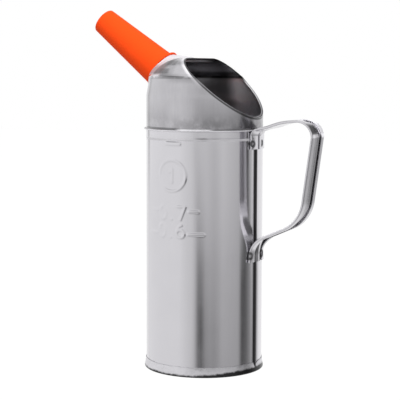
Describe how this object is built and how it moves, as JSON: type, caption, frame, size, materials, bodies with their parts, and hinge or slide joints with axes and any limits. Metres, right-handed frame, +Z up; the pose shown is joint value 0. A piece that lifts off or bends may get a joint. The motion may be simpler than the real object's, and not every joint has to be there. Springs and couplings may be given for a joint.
{
  "type": "measuring jug",
  "caption": "Tall tinplate measuring jug with a slant-cut hood, a push-in plastic pouring spout and a bent strip handle.",
  "frame": {"origin": "on the body's axis, at the plane that the jug stands on", "axes": "+Z up along the body, +X towards the handle, -X towards the spout"},
  "size_m": [0.1876, 0.0918, 0.2715],
  "materials": {
    "body_tinplate": "bright rolled tinplate, faint upright rolling marks",
    "pan_tinplate": "pressed tinplate, soldered at its edge",
    "hood_tinplate": "drawn tinplate, satin",
    "handle_strip": "bright folded strip",
    "spout_plastic": "satin orange moulding"
  },
  "bodies": {
    "jug": {"body_shell": "body_tinplate", "bottom_pan": "pan_tinplate", "hood": "hood_tinplate", "handle": "handle_strip"},
    "spout": {"spout": "spout_plastic"}
  },
  "joints": [
    {"name": "spout_pull", "type": "slide", "parent": "jug", "child": "spout", "axis": [-0.8049, 0, 0.5934], "range_m": [0, 0.012]}
  ]
}
